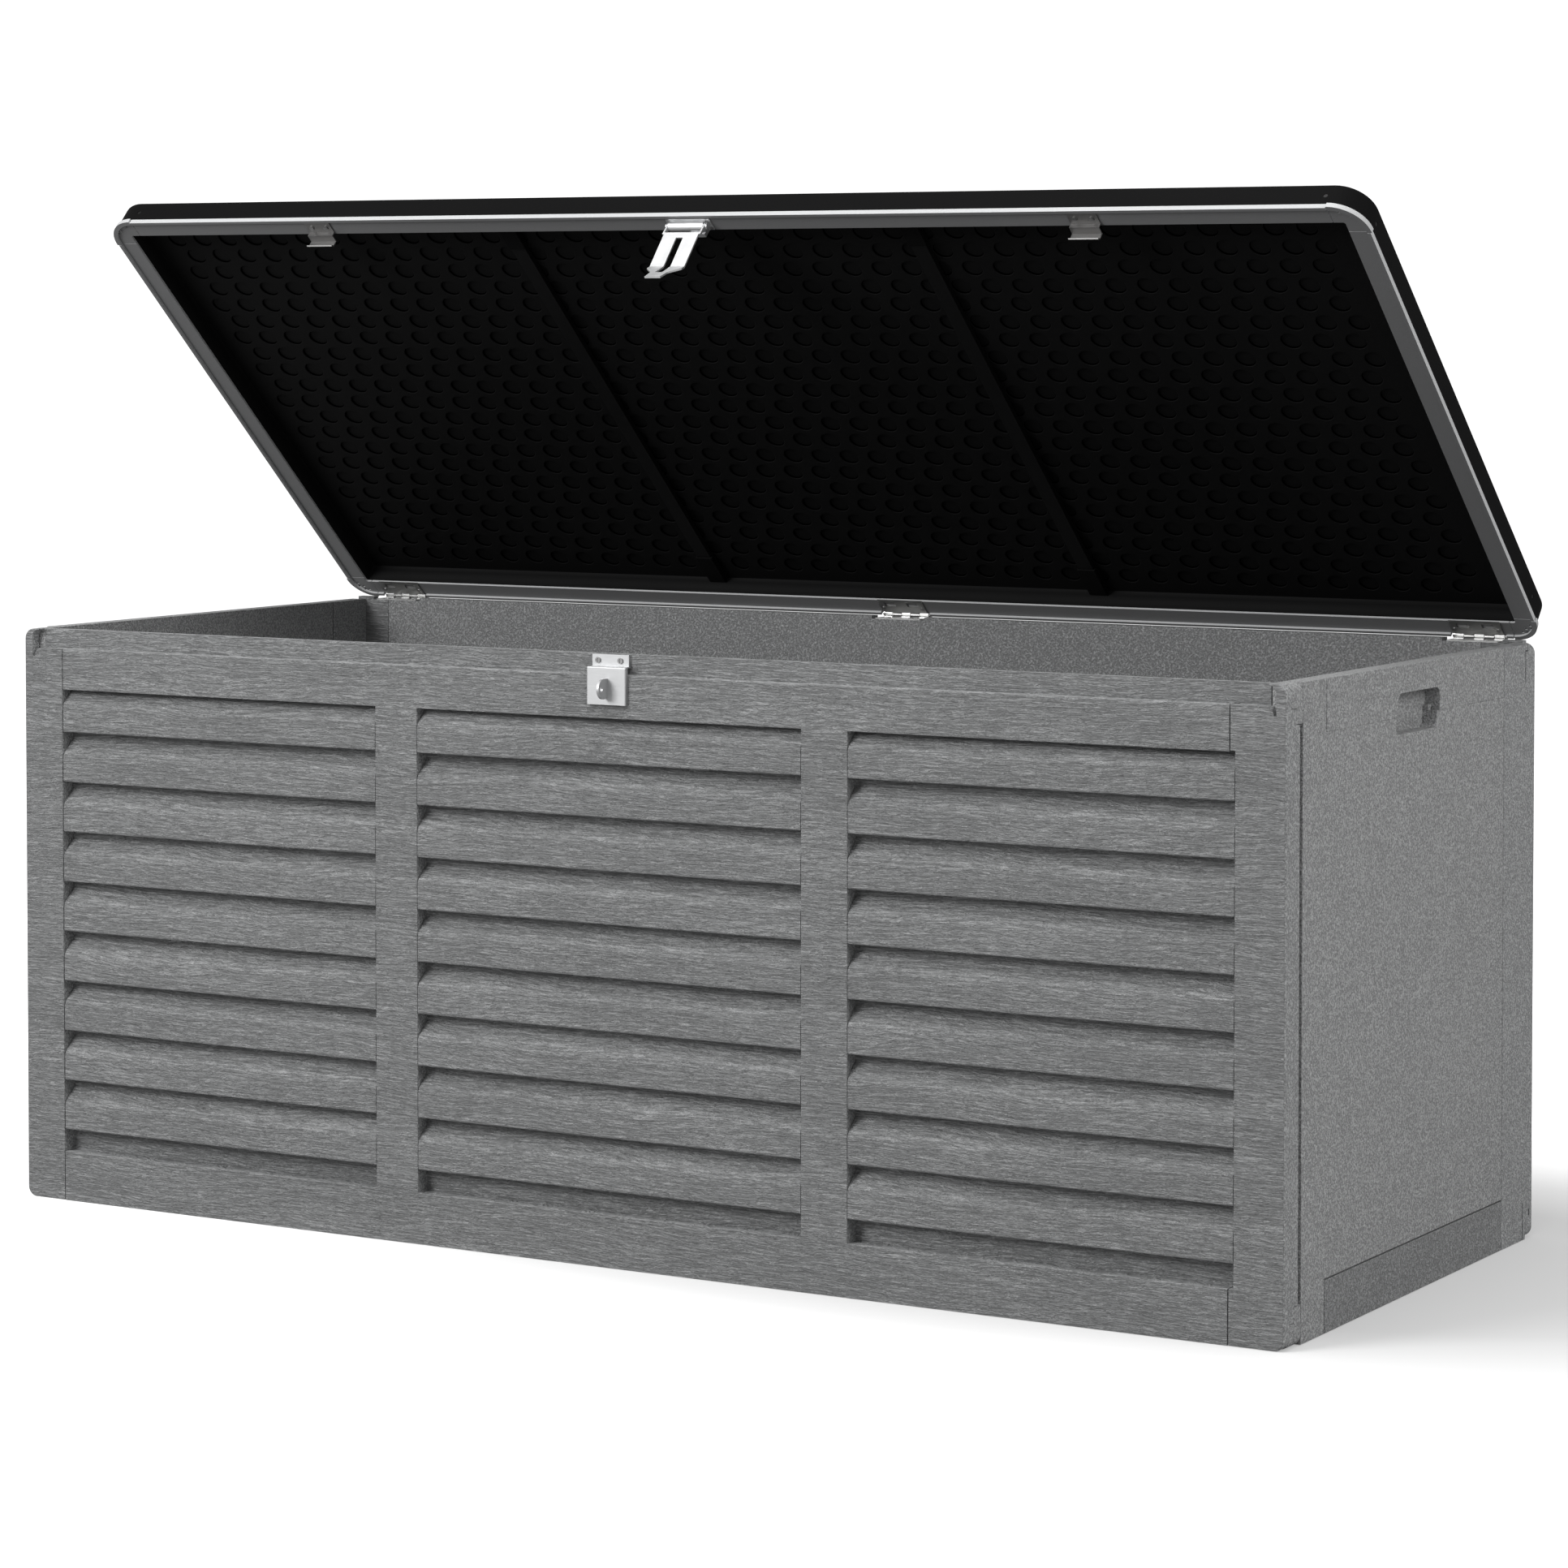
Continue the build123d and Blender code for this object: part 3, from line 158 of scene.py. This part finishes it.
def grey_resin(name, base, grain):
    """Moulded resin: embossed wood grain where a face looks forward, a fine pebble elsewhere."""
    s = Shader(name)
    pebble = s.noise(s.mapping((900, 900, 900)), detail=2.0, rough=0.6)
    speck = s.ramp(s.noise(s.mapping((400, 400, 400)), detail=3.0, rough=0.7), [(0.40, 0.0), (0.62, 1.0)])
    blotch = s.noise(s.mapping((6, 6, 6)), detail=3.0)
    if grain:
        warp = s.noise(s.mapping((3.2, 3.2, 9.0)), detail=2.0)
        sep = s.new("ShaderNodeSeparateXYZ")
        s.link(s.co.outputs["Object"], sep.inputs[0])
        zc = s.math("ADD", sep.outputs["Z"], s.math("MULTIPLY", warp, 0.030))
        comb = s.new("ShaderNodeCombineXYZ")
        s.link(sep.outputs["X"], comb.inputs[0])
        s.link(sep.outputs["Y"], comb.inputs[1])
        s.link(zc, comb.inputs[2])
        long = s.noise(s.mapping((34, 34, 360), comb.outputs[0]), detail=3.0, rough=0.6, distort=1.3)
        fine = s.noise(s.mapping((120, 120, 760), comb.outputs[0], (3.1, 0, 7.7)), detail=3.0, rough=0.6, distort=0.6)
        broad = s.noise(s.mapping((5, 5, 70), comb.outputs[0], (9.4, 0, 2.2)), detail=2.0, rough=0.5, distort=1.0)
        ridge = s.math("SUBTRACT", 1.0, s.math("MULTIPLY", s.math("ABSOLUTE", s.math("SUBTRACT", long, 0.5)), 7.5), clamp=True)
        height = s.math("ADD", s.math("MULTIPLY", ridge, 0.75), s.math("MULTIPLY", fine, 0.9))
        height = s.math("ADD", height, s.math("MULTIPLY", broad, 0.35))
        height = s.math("ADD", height, s.math("MULTIPLY", pebble, 0.2))
        # tone is lighter on the raised grain ridges and fine grain: partly grain tone variation, partly painted
        # highlight
        shade = s.math("ADD", s.math("MULTIPLY", ridge, 0.48), s.math("MULTIPLY", fine, 0.86))
        shade = s.math("ADD", shade, s.math("MULTIPLY", broad, 0.10))
        shade = s.math("ADD", s.math("ADD", shade, 0.28), s.math("MULTIPLY", speck, 0.16))
        # faces that do not look along X; the back-facing term is scaled by zero, so back faces count as front too
        nsep = s.new("ShaderNodeSeparateXYZ")
        s.link(s.co.outputs["Normal"], nsep.inputs[0])
        side = s.math("SUBTRACT", 1.0, s.math("MULTIPLY", s.math("ABSOLUTE", nsep.outputs["X"]), 1.6), clamp=True)
        back = s.math("SUBTRACT", 1.0, s.math("MULTIPLY", s.math("MAXIMUM", nsep.outputs["Y"], 0.0), 0.0), clamp=True)
        front = s.math("MULTIPLY", side, back)
        h = s.math("ADD", s.math("MULTIPLY", height, front), s.math("MULTIPLY", s.math("MULTIPLY", speck, 0.55), s.math("SUBTRACT", 1.0, front)))
        # painted light: faces looking along X get a lighter pebble tone, matching the lighter side copy of the resin
        painted_side_light_tone = s.math("ADD", s.math("MULTIPLY", speck, 1.15), 0.86)
        tone = s.math("ADD", s.math("MULTIPLY", shade, front), s.math("MULTIPLY", painted_side_light_tone, s.math("SUBTRACT", 1.0, front)))
    else:
        h = s.math("MULTIPLY", speck, 0.55)
        tone = s.math("ADD", s.math("MULTIPLY", speck, 0.85), 0.62)
    tone = s.math("MULTIPLY", tone, s.math("ADD", s.math("MULTIPLY", blotch, 0.06), 0.97))
    col = s.new("ShaderNodeVectorMath", operation="SCALE")
    col.inputs[0].default_value = base
    s.link(tone, col.inputs["Scale"])
    rough = s.math("ADD", s.math("MULTIPLY", pebble, 0.12), 0.50)
    return s.done(col.outputs[0], rough, s.bump(h, 1.0, 0.0016), Specular_IOR_Level=0.42)


def lid_resin(name, base, rough0, scale=1100, strength=0.25, spec=0.22):
    s = Shader(name)
    pebble = s.noise(s.mapping((scale, scale, scale)), detail=2.0, rough=0.6)
    blotch = s.noise(s.mapping((5, 5, 5)), detail=3.0)
    tone = s.math("ADD", s.math("MULTIPLY", pebble, 0.5), s.math("ADD", s.math("MULTIPLY", blotch, 0.3), 0.6))
    col = s.new("ShaderNodeVectorMath", operation="SCALE")
    col.inputs[0].default_value = base
    s.link(tone, col.inputs["Scale"])
    rough = s.math("ADD", s.math("MULTIPLY", blotch, 0.1), rough0)
    return s.done(col.outputs[0], rough, s.bump(pebble, strength, 0.0006), Specular_IOR_Level=spec)


def rim_resin_painted_light(name):
    """Satin resin coloured by which way a face points: pale on the lip's upright faces as painted light, darker on
    faces that lie flat, underneath included, as painted shade.
    """
    s = Shader(name)
    pebble = s.noise(s.mapping((1000, 1000, 1000)), detail=2.0, rough=0.6)
    dot = s.new("ShaderNodeVectorMath", operation="DOT_PRODUCT")
    s.link(s.co.outputs["Normal"], dot.inputs[0])
    dot.inputs[1].default_value = LID_Z
    # painted shade: faces lying flat to the lid are darkened, while upright faces stay pale as painted light
    flat_face_painted_shade = s.math("MULTIPLY", s.math("SUBTRACT", s.math("ABSOLUTE", dot.outputs["Value"]), 0.55), 4.0, clamp=True)
    tone = s.mix(flat_face_painted_shade, (0.43, 0.435, 0.44), (0.135, 0.136, 0.138))
    grain = s.math("ADD", s.math("MULTIPLY", pebble, 0.3), 0.85)
    col = s.new("ShaderNodeVectorMath", operation="SCALE")
    s.link(tone, col.inputs[0])
    s.link(grain, col.inputs["Scale"])
    return s.done(col.outputs[0], 0.42, s.bump(pebble, 0.25, 0.0005), Specular_IOR_Level=0.4)


def metal(name, base, rough0, brush=(60, 900, 900), strength=0.12, vary=0.12):
    s = Shader(name)
    lines = s.noise(s.mapping(brush), detail=3.0, rough=0.6)
    cloud = s.noise(s.mapping((70, 70, 70)), detail=3.0)
    tone = s.math("ADD", s.math("MULTIPLY", lines, vary), s.math("ADD", s.math("MULTIPLY", cloud, vary), 1.0 - vary))
    col = s.new("ShaderNodeVectorMath", operation="SCALE")
    col.inputs[0].default_value = base
    s.link(tone, col.inputs["Scale"])
    rough = s.math("ADD", s.math("MULTIPLY", cloud, 0.15), rough0)
    return s.done(col.outputs[0], rough, s.bump(lines, strength, 0.0003), Metallic=1.0)


GREY = (0.215, 0.218, 0.220)
MAT = {
    "grain": grey_resin("resin_woodgrain", GREY, True),
    "pebble": grey_resin("resin_pebble", (0.225, 0.228, 0.230), False),
    # painted light: a lighter copy of the pebble resin for the parts seen from the side
    "side": grey_resin("resin_pebble_painted_side_light", (0.305, 0.308, 0.310), False),
    "lid": lid_resin("lid_resin_black", (0.0026, 0.0026, 0.0027), 0.65, spec=0.06),
    "skin": lid_resin("lid_skin_black", (0.0028, 0.0028, 0.0029), 0.66, 900, 0.3, spec=0.10),
    # painted shade: a near-black, spec-free copy of the skin for the dimple hollows
    "skin_dimple_painted_shade": lid_resin("lid_skin_dimples_painted_shade", (0.0002, 0.0002, 0.0002), 0.9, 900, 0.1, spec=0.0),
    "rim": rim_resin_painted_light("rim_resin_painted_light"),
    "bar": lid_resin("bar_powder_coat", (0.003, 0.003, 0.0031), 0.5, 1500, 0.15, spec=0.12),
    "zinc": metal("zinc_plate", (0.72, 0.725, 0.73), 0.38),
    "catch": metal("catch_plate", (0.24, 0.237, 0.234), 0.42),
    "staple": metal("staple_plate", (0.50, 0.505, 0.51), 0.46),
    "hinge": metal("hinge_plate", (0.48, 0.48, 0.475), 0.24, (900, 60, 900)),
    "screw": metal("screw_steel", (0.33, 0.33, 0.33), 0.3, (500, 500, 500)),
    "black_screw": lid_resin("screw_black", (0.003, 0.003, 0.003), 0.35, 1500, 0.1),
}


def dress(name, mat):
    o = nodes[name]
    o.data.materials.clear()
    o.data.materials.append(MAT[mat])


for n in nodes:
    if n == "front_panel" or n.startswith("corner_post"):
        dress(n, "grain")
    elif n.startswith(("corner_connector", "side_panel", "side_top_rail")):
        dress(n, "side")
    elif n.startswith(("side_", "back_", "floor_")):
        dress(n, "pebble")
    elif n.startswith("rim_"):
        dress(n, "rim")
    elif n in ("lid_shell", "lid_bar_sockets"):
        dress(n, "lid")
    elif n == "lid_inner_skin":
        dress(n, "skin")
    elif n == "lid_shell_screws":
        dress(n, "black_screw")
    elif n in ("lid_bar_left", "lid_bar_right"):
        dress(n, "bar")
    elif n.startswith(("hinge_box_leaf", "hinge_lid_leaf", "hinge_pins")):
        dress(n, "hinge")
    elif n.endswith("screws"):
        dress(n, "screw")
    elif n.startswith("lid_catch"):
        dress(n, "catch")
    elif n in ("staple_plate", "staple_loop"):
        dress(n, "staple")
    else:
        dress(n, "zinc")

# ------------------------------------------------- dimpled inner skin of the lid
RIM_IN = 26.0
SK_X, SK_Y0, SK_Y1 = 851.5 - RIM_IN, -375.7 + RIM_IN, 357.0 - RIM_IN
PLATE_Z, BACK_Z, FOOT_Z = 730.0, 732.4, 706.6
PITCH, ROW, RAD, DEEP, SHIFT = 39.7, 30.65, 13.1, 3.6, 39.7 / 3


def dimpled_skin():
    bm = bmesh.new()
    seg = 24
    x_lo, x_hi = -SK_X + 2.5, SK_X - 2.5
    y_lo, y_hi = SK_Y0 + 2.5, SK_Y1 - 2.5

    def v(x, y, z):
        return bm.verts.new(lid_point(x, y, z))

    rows = []
    k = -1
    while True:
        cy = 359.0 - (643.1 - ROW * k)
        if cy + ROW / 2 > y_hi - 8:
            break
        if cy - ROW / 2 >= y_lo + 1:
            rows.append((k, cy))
        k += 1
    # the row under the front rim is cut by it
    start_y, end_y = rows[0][1] - ROW / 2, rows[-1][1] + ROW / 2
    for k, cy in rows:
        x0 = -773.4 if k % 2 == 0 else -786.6
        count = 40
        xs = [x0 + PITCH * i for i in range(count) if abs(x0 + PITCH * i) + PITCH / 2 < x_hi]
        for cx in xs:
            outer, ring0, ring1, ring2 = [], [], [], []
            corner = math.atan2(ROW / 2, PITCH / 2)
            for i in range(seg):
                a = 2 * math.pi * (i + 0.5) / seg
                c, s = math.cos(a), math.sin(a)
                t = min(PITCH / 2 / max(abs(c), 1e-9), ROW / 2 / max(abs(s), 1e-9))
                px, py = c * t, s * t
                ang = math.atan2(abs(s), abs(c))
                if abs(ang - corner) < math.pi / seg:
                    px, py = math.copysign(PITCH / 2, c), math.copysign(ROW / 2, s)
                outer.append(v(cx + px, cy + py, PLATE_Z))
                ring0.append(v(cx + c * RAD, cy + s * RAD, PLATE_Z))
                ring1.append(v(cx + c * (RAD - 0.7), cy + s * (RAD - 0.7), PLATE_Z + 0.6))
                ring2.append(v(cx + c * (RAD - 1.8), cy + s * (RAD - 1.8), PLATE_Z + DEEP))
            middle = v(cx, cy, PLATE_Z + DEEP + 0.4)
            for i in range(seg):
                j = (i + 1) % seg
                bm.faces.new((outer[i], ring0[i], ring0[j], outer[j]))
                bm.faces.new((ring0[i], ring1[i], ring1[j], ring0[j]))
                # dimple walls and floors take the painted-shade material
                f = bm.faces.new((ring1[i], ring2[i], ring2[j], ring1[j]))
                f.material_index = 1
                f.smooth = True
                f = bm.faces.new((ring2[i], middle, ring2[j]))
                f.material_index = 1
                f.smooth = True
        # plain strips left and right of the row
        xa, xb = xs[0] - PITCH / 2, xs[-1] + PITCH / 2
        for a, b in ((x_lo, xa), (xb, x_hi)):
            bm.faces.new((v(a, cy - ROW / 2, PLATE_Z), v(a, cy + ROW / 2, PLATE_Z), v(b, cy + ROW / 2, PLATE_Z), v(b, cy - ROW / 2, PLATE_Z)))
    for a, b in ((y_lo, start_y), (end_y, y_hi)):
        bm.faces.new((v(x_lo, a, PLATE_Z), v(x_lo, b, PLATE_Z), v(x_hi, b, PLATE_Z), v(x_hi, a, PLATE_Z)))

    # rolled wall down to the rim, and the hidden back
    def outline(inset, radius, z, n=8):
        pts = []
        xa, ya, yb = SK_X - inset, SK_Y0 + inset, SK_Y1 - inset
        for (cx, cy, a0, r) in ((xa, yb, 0, radius), (-xa, yb, 90, radius), (-xa, ya, 180, radius), (xa, ya, 270, radius)):
            ox, oy = cx - math.copysign(r, cx), cy - (r if cy > 0 else -r)
            for i in range(n + 1):
                t = math.radians(a0 + 90 * i / n)
                pts.append((ox + r * math.cos(t), oy + r * math.sin(t), z))
        return pts

    loops = [outline(2.5, 4.0, PLATE_Z), outline(1.6, 4.0, PLATE_Z - 1.5), outline(1.2, 3.6, PLATE_Z - 6), outline(0.6, 3.2, FOOT_Z), outline(0.05, 3.1, FOOT_Z), outline(0.05, 3.1, BACK_Z)]
    rings = [[v(*p) for p in loop] for loop in loops]
    for r0, r1 in zip(rings, rings[1:]):
        for i in range(len(r0)):
            j = (i + 1) % len(r0)
            f = bm.faces.new((r0[i], r1[i], r1[j], r0[j]))
            f.smooth = True
    bm.faces.new(rings[-1])
    bmesh.ops.remove_doubles(bm, verts=bm.verts, dist=0.00002)
    bmesh.ops.recalc_face_normals(bm, faces=bm.faces)
    me = bpy.data.meshes.new("lid_dimpled_skin")
    bm.to_mesh(me)
    bm.free()
    o = bpy.data.objects.new("lid_dimpled_skin", me)
    bpy.context.scene.collection.objects.link(o)
    me.materials.append(MAT["skin"])
    me.materials.append(MAT["skin_dimple_painted_shade"])
    return o


skin = dimpled_skin()
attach(skin, "lid")
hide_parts("lid_inner_skin")

# ------------------------------------------------------------ floor and light
bpy.ops.mesh.primitive_plane_add(size=60, location=(0, 0, -0.0005))
floor = bpy.context.object
floor.name = "studio_floor"
fs = Shader("studio_floor")
fn = fs.noise(fs.mapping((1.5, 1.5, 1.5)), detail=2.0)
path = fs.new("ShaderNodeLightPath")
# soft pool of shade on the ground, reaching out to the right of the box
pool = fs.new("ShaderNodeVectorMath", operation="LENGTH")
fs.link(fs.mapping((1 / 1.55, 1 / 0.75, 1), None, (-0.45 / 1.55, -0.12 / 0.75, 0)), pool.inputs[0])
shade = fs.ramp(fs.math("MULTIPLY", pool.outputs["Value"], 0.5), [(0.26, 0.44), (0.36, 0.54), (0.62, 1.0)])
pale_scaled = fs.new("ShaderNodeVectorMath", operation="MULTIPLY")
fs.link(fs.ramp(fn, [(0.3, 0.93), (0.7, 0.94)]), pale_scaled.inputs[0])
fs.link(shade, pale_scaled.inputs[1])
fs.done(fs.mix(path.outputs["Is Camera Ray"], (0.30, 0.30, 0.30), pale_scaled.outputs[0]), 0.9, None, Specular_IOR_Level=0.1)
fs.link(shade, fs.b.inputs["Emission Color"])
fs.link(fs.math("MULTIPLY", path.outputs["Is Camera Ray"], 0.60), fs.b.inputs["Emission Strength"])
floor.data.materials.append(fs.m)

world = bpy.data.worlds.new("studio")
bpy.context.scene.world = world
world.use_nodes = True
wt = world.node_tree
bg = wt.nodes["Background"]
bg.inputs["Color"].default_value = (1, 1, 1, 1)
lp = wt.nodes.new("ShaderNodeLightPath")
wm = wt.nodes.new("ShaderNodeMapRange")
wm.inputs["To Min"].default_value = 0.55
wm.inputs["To Max"].default_value = 1.15
wt.links.new(lp.outputs["Is Camera Ray"], wm.inputs["Value"])
wt.links.new(wm.outputs["Result"], bg.inputs["Strength"])


def area(name, loc, target, size, energy, size_y=None):
    light = bpy.data.lights.new(name, "AREA")
    light.energy = energy
    light.size = size
    if size_y:
        light.shape = "RECTANGLE"
        light.size_y = size_y
    o = bpy.data.objects.new(name, light)
    o.location = loc
    o.rotation_euler = (Vector(target) - Vector(loc)).to_track_quat("-Z", "Y").to_euler()
    bpy.context.scene.collection.objects.link(o)
    return o


area("key", (-2.4, -4.6, 2.9), (0, 0, 0.4), 2.4, 240)
area("top", (0.2, -1.2, 4.4), (0, 0, 0.4), 2.6, 95)
area("right", (4.6, -0.4, 2.6), (0.6, 0, 0.4), 2.2, 85)

# ------------------------------------------------------------------- camera
cam_data = bpy.data.cameras.new("camera")
cam = bpy.data.objects.new("camera", cam_data)
bpy.context.scene.collection.objects.link(cam)
cam.location = (2.8026, -4.7052, 1.0850)
cam.rotation_euler = (math.radians(87.829), 0, math.radians(30.515))
cam_data.sensor_width = 36.0
cam_data.lens = 105.02
cam_data.shift_x = 0.0
cam_data.shift_y = -0.189
cam_data.clip_end = 200
bpy.context.scene.camera = cam
bpy.context.scene.view_settings.view_transform = "Standard"
bpy.context.scene.view_settings.look = "None"
